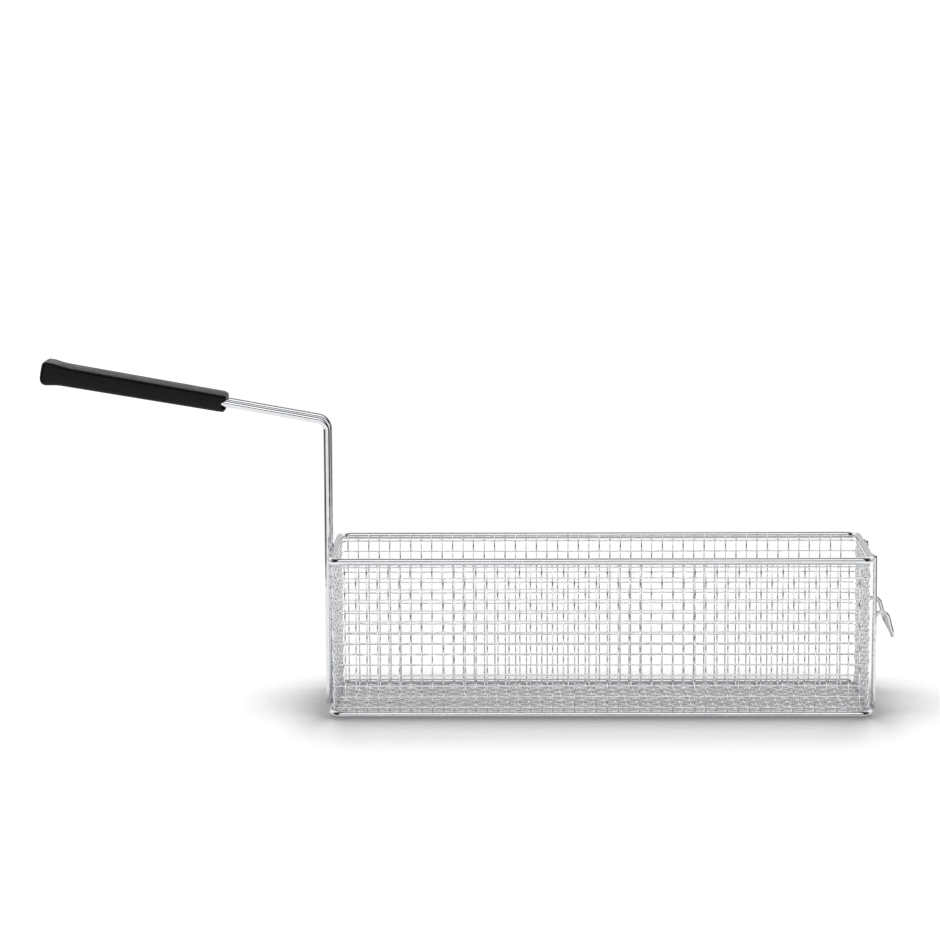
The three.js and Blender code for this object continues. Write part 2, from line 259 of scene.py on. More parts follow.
def platedSteelWire():
    # Nickel-chrome plate over cold-drawn steel wire: mirror-bright, but with long faint draw
    # lines and a slow waver from the bending rolls, so its reflections run as broken streaks.
    look = platedLook
    material, tree = newMaterial("bright_plated_drawn_steel_wire")
    place = addNode(tree, "ShaderNodeTexCoord")
    lines = drawnLines(tree, look, 3.0)
    waves = addNode(tree, "ShaderNodeTexNoise", Vector=(place, "Object"),
                    Scale=1 / (look["wavesMm"] * mm), Detail=1.0)
    spots = addNode(tree, "ShaderNodeTexNoise", Vector=(place, "Object"),
                    Scale=1 / (look["spotMm"] * mm), Detail=4.0, Roughness=0.6)
    worn = addNode(tree, "ShaderNodeMapRange", Value=(spots, "Fac"), From_Min=0.35, From_Max=0.7,
                   To_Min=look["roughness"][0], To_Max=look["roughness"][1])
    tone = addNode(tree, "ShaderNodeValToRGB", Fac=(spots, "Fac"), stops=[
        (0.3, linearColour(look["dull"])), (0.62, linearColour(look["tone"]))])
    wavy = addNode(tree, "ShaderNodeBump", Height=(waves, "Fac"), Strength=0.35,
                   Distance=look["waveDepthMm"] * mm)
    lined = addNode(tree, "ShaderNodeBump", Height=(lines, "Fac"), Normal=(wavy, "Normal"),
                    Strength=0.25, Distance=look["lineDepthMm"] * mm)
    surface = addNode(tree, "ShaderNodeBsdfPrincipled", Base_Color=(tone, "Color"), Metallic=1.0,
                      Roughness=(worn, "Result"), Normal=(lined, "Normal"))
    addNode(tree, "ShaderNodeOutputMaterial", Surface=(surface, "BSDF"))
    return material


wovenLook = {"tone": "#f6f6f7", "dull": "#dcdee1", "roughness": (0.08, 0.2), "drawLineMm": 0.3,
             "drawRunMm": 12, "lineDepthMm": 0.05, "spotMm": 2.2}


def wovenSteelWire():
    # Plated, crimped 1 mm wire: softer in gloss than the frame, because the crimping dies scuff
    # the plate unevenly; it reads silver-grey in short dashes.
    look = wovenLook
    material, tree = newMaterial("plated_crimped_woven_wire")
    place = addNode(tree, "ShaderNodeTexCoord")
    lines = drawnLines(tree, look, 2.0)
    spots = addNode(tree, "ShaderNodeTexNoise", Vector=(place, "Object"),
                    Scale=1 / (look["spotMm"] * mm), Detail=3.0)
    scuffed = addNode(tree, "ShaderNodeMapRange", Value=(spots, "Fac"), From_Min=0.35, From_Max=0.7,
                      To_Min=look["roughness"][0], To_Max=look["roughness"][1])
    tone = addNode(tree, "ShaderNodeValToRGB", Fac=(spots, "Fac"), stops=[
        (0.32, linearColour(look["dull"])), (0.6, linearColour(look["tone"]))])
    lined = addNode(tree, "ShaderNodeBump", Height=(lines, "Fac"), Strength=0.3,
                    Distance=look["lineDepthMm"] * mm)
    surface = addNode(tree, "ShaderNodeBsdfPrincipled", Base_Color=(tone, "Color"), Metallic=1.0,
                      Roughness=(scuffed, "Result"), Normal=(lined, "Normal"))
    addNode(tree, "ShaderNodeOutputMaterial", Surface=(surface, "BSDF"))
    return material


beadLook = {"tone": "#cfd1d5", "dull": "#8f9093", "roughness": (0.18, 0.4), "rippleMm": 0.7,
            "rippleDepthMm": 0.2}


def weldMetal():
    # Fused bead under the same plate: rippled and a little darker than the drawn wire.
    look = beadLook
    material, tree = newMaterial("plated_weld_bead")
    place = addNode(tree, "ShaderNodeTexCoord")
    ripple = addNode(tree, "ShaderNodeTexNoise", Vector=(place, "Object"),
                     Scale=1 / (look["rippleMm"] * mm), Detail=4.0, Roughness=0.6)
    rough = addNode(tree, "ShaderNodeMapRange", Value=(ripple, "Fac"), From_Min=0.3, From_Max=0.7,
                    To_Min=look["roughness"][0], To_Max=look["roughness"][1])
    tone = addNode(tree, "ShaderNodeValToRGB", Fac=(ripple, "Fac"), stops=[
        (0.35, linearColour(look["dull"])), (0.6, linearColour(look["tone"]))])
    bumpy = addNode(tree, "ShaderNodeBump", Height=(ripple, "Fac"), Strength=0.5,
                    Distance=look["rippleDepthMm"] * mm)
    surface = addNode(tree, "ShaderNodeBsdfPrincipled", Base_Color=(tone, "Color"), Metallic=1.0,
                      Roughness=(rough, "Result"), Normal=(bumpy, "Normal"))
    addNode(tree, "ShaderNodeOutputMaterial", Surface=(surface, "BSDF"))
    return material


plasticLook = {"tone": "#060708", "pale": "#0b0c0e", "roughness": (0.24, 0.38), "grainMm": 0.8,
               "grainDepthMm": 0.5, "flowMm": 9, "shine": 0.2}


def mouldedPlastic():
    # Black phenolic, compression moulded in a spark-textured tool: satin black with a fine
    # pebble, and a gloss and tone that drift slowly across it, as the resin flowed.
    look = plasticLook
    material, tree = newMaterial("black_moulded_phenolic")
    place = addNode(tree, "ShaderNodeTexCoord")
    # the tool's real grain is near 0.15 mm; it is drawn coarser so that it shows
    grain = addNode(tree, "ShaderNodeTexNoise", Vector=(place, "Object"),
                    Scale=1 / (look["grainMm"] * mm), Detail=3.0, Roughness=0.65)
    flow = addNode(tree, "ShaderNodeTexNoise", Vector=(place, "Object"),
                   Scale=1 / (look["flowMm"] * mm), Detail=2.0)
    gloss = addNode(tree, "ShaderNodeMapRange", Value=(flow, "Fac"), From_Min=0.3, From_Max=0.7,
                    To_Min=look["roughness"][0], To_Max=look["roughness"][1])
    tone = addNode(tree, "ShaderNodeValToRGB", Fac=(flow, "Fac"), stops=[
        (0.35, linearColour(look["tone"])), (0.7, linearColour(look["pale"]))])
    pebble = addNode(tree, "ShaderNodeBump", Height=(grain, "Fac"), Strength=0.8,
                     Distance=look["grainDepthMm"] * mm)
    surface = addNode(tree, "ShaderNodeBsdfPrincipled", Base_Color=(tone, "Color"), Metallic=0.0,
                      Roughness=(gloss, "Result"), Specular_IOR_Level=look["shine"],
                      Normal=(pebble, "Normal"))
    addNode(tree, "ShaderNodeOutputMaterial", Surface=(surface, "BSDF"))
    return material


tableLook = {"tone": "#f8f8f8", "shade": "#6f6f70", "shadeReachMm": 90, "shadeAt": (0.8, 0.985),
             "glow": 0.27}


def opalTable():
    # Matt opal acrylic over a light box: it glows a little from below, so that the shade under
    # the basket stays soft and grey; a painted shade darkens its colour where something stands close over
    # it.
    look = tableLook
    material, tree = newMaterial("opal_acrylic_light_table")
    near = addNode(tree, "ShaderNodeAmbientOcclusion", {"samples": 12},
                   Distance=look["shadeReachMm"] * mm)
    closest, clear = look["shadeAt"]
    # painted shade: ambient occlusion turns the table's colour toward the shade grey close under the
    # basket
    tone = addNode(tree, "ShaderNodeValToRGB", Fac=(near, "AO"), stops=[
        (closest, linearColour(look["shade"])), (clear, linearColour(look["tone"]))])
    surface = addNode(tree, "ShaderNodeBsdfPrincipled", Base_Color=(tone, "Color"), Roughness=0.9,
                      Emission_Color=(1.0, 1.0, 1.0, 1.0), Emission_Strength=look["glow"])
    addNode(tree, "ShaderNodeOutputMaterial", Surface=(surface, "BSDF"))
    return material


plated = platedSteelWire()
woven = wovenSteelWire()
beadMetal = weldMetal()
plastic = mouldedPlastic()
print("materials made")


rims = {
    "wire": 5.0, "corner": 8.8,        # mm; the corner is the bend on the wire's own middle
    "step": 8.0, "sides": 32,
    "waver": 0.07, "waverRun": 70.0,   # rolled wire is never dead straight
}
topHeight = rimHigh.z - rims["wire"] / 2
bottomHeight = boxInMm("bottom_rim")[1].z - rims["wire"] / 2


def rimWire(name, node):
    low, high = boxInMm(node)
    inset = rims["wire"] / 2
    left, right, near, far = low.x + inset, high.x - inset, low.y + inset, high.y - inset
    height = high.z - inset
    spots = [(left, near, height, rims["corner"]), (right, near, height, rims["corner"]),
             (right, far, height, rims["corner"]), (left, far, height, rims["corner"])]
    points = bentWire(spots, closed=True, step=rims["step"])
    for row in points:
        spot = Vector((row[0] / rims["waverRun"], row[1] / rims["waverRun"], height))
        row[2] += rims["waver"] * (noise.noise(spot) + 1) / 2
    rim = makePiece(name, [tube(points, inset, rims["sides"], closed=True, sideways=(0, 0, 1))], plated)
    return finishPiece(rim, "plated_wire", node)


topRim = rimWire("top_rim_wire", "top_rim")
bottomRim = rimWire("bottom_rim_wire", "bottom_rim")
print("rims made")


weave = {
    "wire": 1.05,              # mm
    "crimp": 0.56,             # how far each wire leans out and in, just over half its thickness
    "hoops": 48, "firstHoop": -175.9, "hoopPitch": 7.49,       # wires that cross the basket, along X
    "runs": 14, "runPitch": 7.5,                               # wires that run its length, across Y
    "rings": 14, "firstRing": 7.42, "ringPitch": 7.503,        # level wires round the walls, up Z
    "halfLength": 183.5, "halfWidth": 55.0,                    # to the middle of the weave
    "floor": 2.0, "sideTop": 110.4, "endTop": 107.6,           # the ends stop inside the top rim
    "bend": 5.0, "corner": 5.0,
    # the box was folded a little out of square: how far its wires stray at the front and the back
    "hoopStray": (0.7, -3.2), "ringStray": (-0.6, 0.7),
    "drift": 0.16,             # how far a wire wanders sideways
    "sides": 8, "perPitch": 4,                                 # points round a wire, and along a pitch
    "fineStep": 0.25, "fineArc": 3,                            # the path that crossings are found on
}
hoopX = [weave["firstHoop"] + weave["hoopPitch"] * k for k in range(weave["hoops"])]
runY = [weave["runPitch"] * (k - (weave["runs"] - 1) / 2) for k in range(weave["runs"])]
ringZ = [weave["firstRing"] + weave["ringPitch"] * k for k in range(weave["rings"])]
dice = random.Random(11)


def stray(amounts, y):
    front, back = amounts
    return front + (back - front) * (y + weave["halfWidth"]) / (2 * weave["halfWidth"])


def crimpedWire(base, outward, crossings, closed, sideways, lateral):
    # base is a fine path (mm); crossings are (point, side), side 1 where the wire is outside
    steps = np.linalg.norm(np.diff(base, axis=0), axis=1)
    run = np.concatenate([[0.0], np.cumsum(steps)])
    marks = []
    for spot, side in crossings:
        nearest = np.argmin(np.sum((base - np.array(spot)) ** 2, axis=1))
        marks.append((run[nearest], side * weave["crimp"]))
    marks.sort()
    if closed:
        total = run[-1]
        marks = [(marks[-1][0] - total, marks[-1][1])] + marks + [(marks[0][0] + total, marks[0][1])]
    else:
        marks = [(run[0], 0.0)] + marks + [(run[-1], 0.0)]
    places, leans = [], []
    for (a, leanA), (b, leanB) in zip(marks, marks[1:]):
        cuts = max(2, round((b - a) / weave["ringPitch"] * weave["perPitch"]))
        for k in range(cuts):
            t = k / cuts
            places.append(a + (b - a) * t)
            leans.append(leanA + (leanB - leanA) * (1 - math.cos(math.pi * t)) / 2)
    if not closed:
        places.append(marks[-1][0])
        leans.append(0.0)
    places, leans = np.array(places), np.array(leans)
    if closed:
        keep = (places >= 0) & (places < run[-1])
        places, leans = places[keep], leans[keep]
    centre = np.stack([np.interp(places, run, base[:, i]) for i in range(3)], 1)
    normal = np.stack([np.interp(places, run, outward[:, i]) for i in range(3)], 1)
    bow = dice.uniform(0.3, 1) * weave["drift"]
    turns, start = dice.uniform(0.6, 2.2), dice.uniform(0, 6.28)
    if closed:
        turns = round(turns + 1)       # a loop has to meet itself
    sway = bow * np.sin(places / run[-1] * 2 * math.pi * turns + start)
    shift = dice.uniform(-0.5, 0.5) * weave["drift"]
    points = centre + unit(normal) * leans[:, None] + np.array(lateral) * (sway + shift)[:, None]
    return tube(points, weave["wire"] / 2, weave["sides"], closed=closed, sideways=sideways)


def meshPath(corners, closed=False):
    return bentWire(corners, closed, weave["fineStep"], weave["fineArc"])


def sidewaysOf(base, axis):
    # square to an open path's direction and to the given axis
    return np.cross(tangentsOf(base, False), np.array(axis, float))


def hoopWires():
    y, low, top = weave["halfWidth"], weave["floor"], weave["sideTop"]
    wires = []
    for k, x in enumerate(hoopX):
        front, back = (middleX + x + stray(weave["hoopStray"], side) for side in (-y, y))
        base = meshPath([(front, -y, top, 0), (front, -y, low, weave["bend"]),
                         (back, y, low, weave["bend"]), (back, y, top, 0)])
        parity = (-1) ** k
        crossings = [((front, -y, z + stray(weave["ringStray"], -y)), parity * (-1) ** j)
                     for j, z in enumerate(ringZ)]
        crossings += [((middleX + x + stray(weave["hoopStray"], yy), yy, low), -parity * (-1) ** m)
                      for m, yy in enumerate(runY)]
        crossings += [((back, y, z + stray(weave["ringStray"], y)), -parity * (-1) ** j)
                      for j, z in enumerate(ringZ)]
        outward = sidewaysOf(base, (1, 0, 0))
        outward *= np.sign(outward[0] @ np.array((0, -1, 0)))
        wires.append(crimpedWire(base, outward, crossings, False, (1, 0, 0), (1, 0, 0)))
    return wires


def runWires():
    x, low, top = weave["halfLength"], weave["floor"], weave["endTop"]
    wires = []
    for m, y in enumerate(runY):
        base = meshPath([(middleX - x, y, top, 0), (middleX - x, y, low, weave["bend"]),
                         (middleX + x, y, low, weave["bend"]), (middleX + x, y, top, 0)])
        parity = (-1) ** m
        lift, slip = stray(weave["ringStray"], y), stray(weave["hoopStray"], y)
        crossings = [((middleX - x, y, z + lift), -parity * (-1) ** j) for j, z in enumerate(ringZ)]
        crossings += [((middleX + xx + slip, y, low), parity * (-1) ** k) for k, xx in enumerate(hoopX)]
        crossings += [((middleX + x, y, z + lift), parity * (-1) ** j) for j, z in enumerate(ringZ)]
        outward = sidewaysOf(base, (0, 1, 0))
        outward *= np.sign(outward[0] @ np.array((-1, 0, 0)))
        wires.append(crimpedWire(base, outward, crossings, False, (0, 1, 0), (0, 1, 0)))
    return wires


def ringWires():
    x, y, corner = weave["halfLength"], weave["halfWidth"], weave["corner"]
    wires = []
    slips, lifts = ([stray(weave[key], side) for side in (-y, y)] for key in ("hoopStray", "ringStray"))
    for j, z in enumerate(ringZ):
        front, back = (z + lift for lift in lifts)
        base = meshPath([(middleX - x, -y, front, corner), (middleX + x, -y, front, corner),
                         (middleX + x, y, back, corner), (middleX - x, y, back, corner)], closed=True)
        base = np.vstack([base, base[:1]])
        parity = (-1) ** j
        ends = [(yy, z + stray(weave["ringStray"], yy)) for yy in runY]
        crossings = [((middleX + xx + slips[0], -y, front), -parity * (-1) ** k)
                     for k, xx in enumerate(hoopX)]
        crossings += [((middleX + x, yy, zz), -parity * (-1) ** m) for m, (yy, zz) in enumerate(ends)]
        crossings += [((middleX + xx + slips[1], y, back), parity * (-1) ** k)
                      for k, xx in enumerate(hoopX)]
        crossings += [((middleX - x, yy, zz), parity * (-1) ** m) for m, (yy, zz) in enumerate(ends)]
        outward = sidewaysOf(base, (0, 0, 1))
        outward[-1] = outward[0] = (outward[0] + outward[-1]) / 2
        probe = 40                     # any point that is clear of the loop's seam
        outward *= np.sign(outward[probe] @ (base[probe] - np.array((middleX, 0, z))))
        wires.append(crimpedWire(base, outward, crossings, True, (0, 0, 1), (0, 0, 1)))
    return wires


crossWires = makePiece("mesh_cross_wires", hoopWires(), woven)
finishPiece(crossWires, "woven_wire", "front_mesh", "back_mesh", "floor_mesh")
lengthWires = makePiece("mesh_length_wires", runWires(), woven)
finishPiece(lengthWires, "woven_wire", "floor_mesh", "handle_end_mesh", "hook_end_mesh")
levelWires = makePiece("mesh_level_wires", ringWires(), woven)
finishPiece(levelWires, "woven_wire", "front_mesh", "back_mesh", "handle_end_mesh", "hook_end_mesh")
meshFamilies = [crossWires, lengthWires, levelWires]
shadowCasters = [topRim, bottomRim] + meshFamilies
print("woven box made:", sum(len(family.data.polygons) for family in meshFamilies), "faces")


handle = {
    "wire": 5.0, "spread": 20.0,       # mm; the spread is between the two rods' middles
    "pressed": 0.9,            # mm; the rods sink this far into the rims when they are welded
    "rise": 90.7, "slope": 10.3, "bend": 8.0,      # above the top rim's middle, degrees, radius
    "reach": 71.0, "insertion": 110.0,             # bare rod before the grip, and rod inside it
    "step": 8.0, "arc": 6, "sheared": 0.5, "sides": 32,
}
rodLow, rodHigh = boxInMm("handle_rod_front")
rodX = rodHigh.x - handle["wire"] / 2 + handle["pressed"]
slope = math.radians(handle["slope"])
bendHeight = topHeight + handle["rise"]


def handleRod(name, node, side):
    y = side * handle["spread"] / 2
    far = handle["reach"] + handle["insertion"]
    spots = [(rodX, y, rodLow.z, 0), (rodX, y, bendHeight, handle["bend"]),
             (rodX - math.cos(slope) * far, y, bendHeight + math.sin(slope) * far, 0)]
    points = bentWire(spots, step=handle["step"], arcDegrees=handle["arc"])
    rod = makePiece(name, [tube(points, handle["wire"] / 2, handle["sides"], sideways=(0, 1, 0),
                                chamfer=handle["sheared"])], plated)
    return finishPiece(rod, "plated_wire", node)


handleRod("handle_rod_near", "handle_rod_front", -1)
handleRod("handle_rod_far", "handle_rod_back", 1)

grip = {
    "length": 130.4, "width": 28.0,
    "crease": 4.0, "ridge": 7.2,       # heights above the rods' middle: the side groove and the top
    "underFront": 6.2, "underWaist": 7.8, "underButt": 9.8,    # and the depths below it
    "flare": 16.0, "creaseLift": 20.0, "creaseLifted": 16.5,   # runs at the butt
    "frontNose": 4.0, "frontLip": 1.7, "frontPlan": 4.0,       # rounding: top, underside, in plan
    "buttTop": 3.0, "buttHeel": 5.5, "buttPlan": 3.0,
    "waist": 0.5,              # how much slimmer the middle is than the butt, each side
    "edge": 2.6,               # rounding along the lower edges
    "grooveDepth": 0.9, "grooveWidth": 0.95, "grooveFade": 0.7,
    "lipIn": 0.35, "roofIn": 0.85, "roofLift": 0.5,            # the groove's lower lip, the roof's foot
    "channel": 2.9, "channelSpare": 0.3,                       # radius round a rod, and room past its end
    "notch": 3.15, "notchDrop": 1.4, "notchAcross": (8.0, 12.0, 16.5),
    "cutSides": 40, "sharp": 38,
}


def softEnd(distance, radius):
    # how far an outline has pulled in, at a distance from the end it rounds over
    t = min(max(distance / radius, 0.0), 1.0)
    return radius * (1 - math.sqrt(max(0.0, 1 - (1 - t) ** 2)))


def smooth(t):
    t = min(max(t, 0.0), 1.0)
    return t * t * (3 - 2 * t)


def gripSection(s):
    # half the outline across the grip at distance s from its front, from below up to the ridge
    toEnd = grip["length"] - s
    flare = smooth(1 - toEnd / grip["flare"])
    under = grip["underFront"] + (grip["underWaist"] - grip["underFront"]) * min(
        s / (grip["length"] - grip["flare"]), 1)
    under += (grip["underButt"] - grip["underWaist"]) * flare
    under -= softEnd(s, grip["frontLip"]) + softEnd(toEnd, grip["buttHeel"])
    top = grip["ridge"] - softEnd(s, grip["frontNose"]) - softEnd(toEnd, grip["buttTop"])
    half = grip["width"] / 2 - grip["waist"] * (1 - flare)
    half -= softEnd(s, grip["frontPlan"]) + softEnd(toEnd, grip["buttPlan"])
    rising = smooth((grip["creaseLift"] - toEnd) / grip["creaseLifted"])
    crease = grip["crease"] + (grip["ridge"] - 0.9 - grip["crease"]) * rising
    depth, gap = (grip[key] * (1 - grip["grooveFade"] * rising) for key in ("grooveDepth", "grooveWidth"))
    crease = min(crease, top - gap - 0.75)
    crease -= 0.25 * softEnd(s, grip["frontNose"])
    edge = min(grip["edge"], under * 0.45)
    outline = [(0.0, -under), (half * 0.35, -under), (half * 0.7, -under + 0.05)]
    for k in range(6):
        a = math.pi / 2 * k / 5
        outline.append((half - edge + edge * math.sin(a), -under + edge - edge * math.cos(a)))
    low, high = -under + edge, crease - 0.5
    for t in (0.25, 0.5, 0.75):
        outline.append((half + 0.25 * math.sin(math.pi * t), low + (high - low) * t))   # a slight bulge
    lip, upper = half - grip["lipIn"], crease + gap
    outline += [(half, high), (half - 0.1, crease - 0.18), (lip, crease)]
    outline += [(lip - depth, crease + gap * 0.2), (lip - depth, crease + gap * 0.75)]
    outline += [(half - 0.4, upper), (half - 0.5, upper + 0.25)]
    start, foot = half - grip["roofIn"], upper + grip["roofLift"]
    outline.append((start, foot))
    for k in range(1, 11):
        y = start * (1 - k / 10)
        outline.append((y, foot + (top - foot) * (1 - (y / start) ** 2)))
    return outline


def gripStations():
    # distances along the grip, closer together where its outline turns
    nose, heel = grip["frontNose"], grip["buttHeel"]
    lift, turn = grip["length"] - grip["creaseLift"], grip["length"] - heel
    front = [nose * (1 - math.cos(math.pi / 2 * k / 9)) for k in range(10)]
    middle = [nose + (lift - nose) * k / 28 for k in range(1, 29)]
    flare = [lift + (turn - lift) * k / 14 for k in range(1, 15)]
    butt = [turn + heel * math.sin(math.pi / 2 * k / 10) for k in range(1, 11)]
    return front + middle + flare + butt


def placeOnRods(s, y, n):
    # from the grip's own axes to the row frame, mm
    x0 = rodX - math.cos(slope) * handle["reach"]
    z0 = bendHeight + math.sin(slope) * handle["reach"]
    return (x0 - s * math.cos(slope) + n * math.sin(slope), y,
            z0 + s * math.sin(slope) + n * math.cos(slope))


def cutterTube(name, points, radius, sideways):
    vertices, faces, _ = tube(np.array(points, float), radius, grip["cutSides"], sideways=sideways)
    mesh = bpy.data.meshes.new(name)
    mesh.from_pydata((vertices * mm).tolist(), [], faces)
    return newObject(name, mesh)


def applyModifiers(piece):
    graph = bpy.context.evaluated_depsgraph_get()
    mesh = bpy.data.meshes.new_from_object(piece.evaluated_get(graph))
    piece.modifiers.clear()
    old, piece.data = piece.data, mesh
    bpy.data.meshes.remove(old)


def mouldedGrip():
    rows = []
    for s in gripStations():
        half = gripSection(s)
        rows.append([placeOnRods(s, y, n) for y, n in half]
                    + [placeOnRods(s, -y, n) for y, n in half[-2:0:-1]])
    around = len(rows[0])
    vertices = [v for row in rows for v in row]
    faces = []
    for i in range(len(rows) - 1):
        for j in range(around):
            a, b = i * around + j, i * around + (j + 1) % around
            faces.append([a, b, b + around, a + around])
    faces.append(list(range(around))[::-1])
    last = (len(rows) - 1) * around
    faces.append([last + j for j in range(around)])
    mesh = bpy.data.meshes.new("moulded_grip")
    mesh.from_pydata((np.array(vertices) * mm).tolist(), [], faces)
    shape = bmesh.new()
    shape.from_mesh(mesh)
    bmesh.ops.recalc_face_normals(shape, faces=shape.faces)
    shape.to_mesh(mesh)
    shape.free()
    piece = newObject("moulded_grip", mesh)
    cutters = []
    for side in (-1, 1):
        y, bottom = side * handle["spread"] / 2, handle["insertion"] + grip["channelSpare"]
        spots = [placeOnRods(s, y, 0) for s in (-3, 60, bottom)]
        cutters.append(cutterTube(f"channelCutter{side}", spots, grip["channel"], (0, 1, 0)))
        spots = [placeOnRods(0, side * across, -grip["notchDrop"]) for across in grip["notchAcross"]]
        cutters.append(cutterTube(f"notchCutter{side}", spots, grip["notch"], (1, 0, 0)))
    for cutter in cutters:
        cut = piece.modifiers.new("cut", "BOOLEAN")
        cut.operation, cut.solver, cut.object = "DIFFERENCE", "EXACT", cutter
    applyModifiers(piece)
    for cutter in cutters:
        bpy.data.objects.remove(cutter)
    piece.data.polygons.foreach_set("use_smooth", [True] * len(piece.data.polygons))
    piece.data.set_sharp_from_angle(angle=math.radians(grip["sharp"]))
    piece.data.materials.clear()
    piece.data.materials.append(plastic)
    return finishPiece(piece, "grip_plastic", "grip")


gripPiece = mouldedGrip()
print("handle made:", len(gripPiece.data.polygons), "faces in the grip")


hook = {
    "wire": 3.0, "spring": 63.6, "arch": 5.0,      # height where the arches start, and their bend
    "lean": 14.5, "prongDrop": 11.9, "corner": 4.0,
    "cutBelow": 2.6,           # mm; the stays are cut off this far below the top of the rim
    "step": 6.0, "stayStep": 5.0, "arc": 7, "sheared": 0.35, "sides": 24,
}
hookLow, hookHigh = boxInMm("hook_wire")
legX = hookLow.x + hook["wire"] / 2
legY = hookHigh.y - hook["wire"] / 2
stayLow, stayHigh = boxInMm("hook_stay_back")
stayX = stayHigh.x - hook["wire"] / 2
stayY = stayHigh.y - hook["wire"] / 2


def hookCorners(side):
    away = math.radians(hook["lean"])
    halfTurn = (math.pi - away) / 2
    rise = hook["arch"] * math.tan(halfTurn / 2)
    legTop = (legX, hook["spring"] + rise)
    prongTop = (legTop[0] + math.cos(math.pi / 2 - halfTurn) * 2 * rise,
                legTop[1] + math.sin(math.pi / 2 - halfTurn) * 2 * rise)
    tipHeight = hook["spring"] - hook["prongDrop"]
    tipX = prongTop[0] + (prongTop[1] - tipHeight) * math.tan(away)
    y = side * legY
    return [(legX, y, hookLow.z, 0), (legTop[0], y, legTop[1], hook["arch"]),
            (prongTop[0], y, prongTop[1], hook["arch"]), (tipX, y, tipHeight, hook["corner"])]


hookPoints = bentWire(hookCorners(-1) + hookCorners(1)[::-1], step=hook["step"], arcDegrees=hook["arc"])
railHook = makePiece("rail_hook_wire", [
    tube(hookPoints, hook["wire"] / 2, hook["sides"], chamfer=hook["sheared"])], plated)
finishPiece(railHook, "plated_wire", "hook_wire")
for label, side in (("front", -1), ("back", 1)):
    spots = [(stayX, side * stayY, stayLow.z, 0), (stayX, side * stayY, rimHigh.z - hook["cutBelow"], 0)]
    stay = makePiece(f"stay_wire_{label}", [tube(
        bentWire(spots, step=hook["stayStep"]), hook["wire"] / 2, hook["sides"], sideways=(0, 1, 0),
        chamfer=hook["sheared"])], plated)
    finishPiece(stay, "plated_wire", f"hook_stay_{label}")
print("hook and stays made")


beads = {
    "lump": 0.22, "lumpEach": 0.9, "lumpAround": 1.7,      # how uneven, from bead to bead and over one
    "waist": 0.22,
    # the bead's middle from its wire's along X, then half its size across, along and up, mm
    "rodTop": (2.4, (1.5, 3.3, 2.3)), "rodFoot": (2.6, (1.5, 3.3, 2.2)),
    "hookFoot": (-1.6, (1.4, 2.4, 2.2)), "stayTop": (-1.6, (1.3, 2.3, 1.8)),
    "stayHook": (0.7, (1.0, 1.3, 4.6)),
    "stayTopDrop": 0.8, "stayHookHeight": 56.5,
}


def weldBead(node, x, y, z, kind):
    # a fused lump that runs up both wires, pulled in at its waist
    out, size = beads[kind]
    centre = Vector((x + out, y, z))
    shape = bmesh.new()
    bmesh.ops.create_icosphere(shape, subdivisions=4, radius=1.0)
    for v in shape.verts:
        d = v.co.copy()
        waist = 1 - beads["waist"] * (1 - abs(d.z)) * abs(d.y)
        lump = 1 + beads["lump"] * noise.noise(centre * beads["lumpEach"] + d * beads["lumpAround"])
        v.co = (Vector((d.x * size[0] * waist, d.y * size[1], d.z * size[2])) * lump + centre) * mm
    for face in shape.faces:
        face.smooth = True
    name = node.replace("weld", "bead")
    mesh = bpy.data.meshes.new(name)
    shape.to_mesh(mesh)
    shape.free()
    mesh.materials.append(beadMetal)
    return finishPiece(newObject(name, mesh), "weld_metal", node)


for label, side in (("front", -1), ("back", 1)):
    rodY = side * handle["spread"] / 2
    weldBead(f"weld_rod_top_{label}", rodX, rodY, topHeight, "rodTop")
    weldBead(f"weld_rod_foot_{label}", rodX, rodY, bottomHeight, "rodFoot")
    weldBead(f"weld_hook_foot_{label}", legX, side * legY, bottomHeight, "hookFoot")
    weldBead(f"weld_stay_top_{label}", stayX, side * stayY, topHeight - beads["stayTopDrop"], "stayTop")
    weldBead(f"weld_stay_hook_{label}", (legX + stayX) / 2, side * (legY + stayY) / 2,
             beads["stayHookHeight"], "stayHook")
print("weld beads made")


studio = {
    "tableX": 0.62, "tableNear": -1.1, "tableFar": 1.2,        # metres
    "lampHeight": 50.0, "lampTurn": 2.0, "lampSpread": 26.0,   # degrees: from behind and above
    "lampPower": 2.6, "fill": 0.23, "backdrop": 1.15,
    # brightness from straight down (0.25) past the horizon before the basket (0.5), over the
    # top (0.75), and down to the horizon behind it (1.0)
    "overhead": [(0.0, 0.58), (0.12, 0.45), (0.25, 0.3), (0.44, 0.7), (0.49, 1.1), (0.524, 1.1),
                 (0.534, 0.02), (0.584, 0.02), (0.594, 1.6), (0.68, 1.35), (0.712, 0.16), (0.79, 0.16),
                 (0.83, 1.1), (0.93, 1.2), (0.97, 0.65), (1.0, 0.58)],
    # and round the room, from before the basket (0) to behind it (1)
    "around": [(0.0, 1.0), (0.235, 1.0), (0.275, 0.03), (0.44, 0.03), (0.5, 0.7), (0.72, 0.95),
               (1.0, 1.0)],
}


def tableTopPiece():
    # one flat sheet in a plain grid
    shape = bmesh.new()
    bmesh.ops.create_grid(shape, x_segments=8, y_segments=8, size=0.5)
    depth = studio["tableFar"] - studio["tableNear"]
    for v in shape.verts:
        v.co.x *= 2 * studio["tableX"]
        v.co.y = (v.co.y + 0.5) * depth + studio["tableNear"]
        v.co.z = tableTop * mm
    mesh = bpy.data.meshes.new("table_top")
    shape.to_mesh(mesh)
    shape.free()
    mesh.materials.append(opalTable())
    newObject("table_top", mesh)


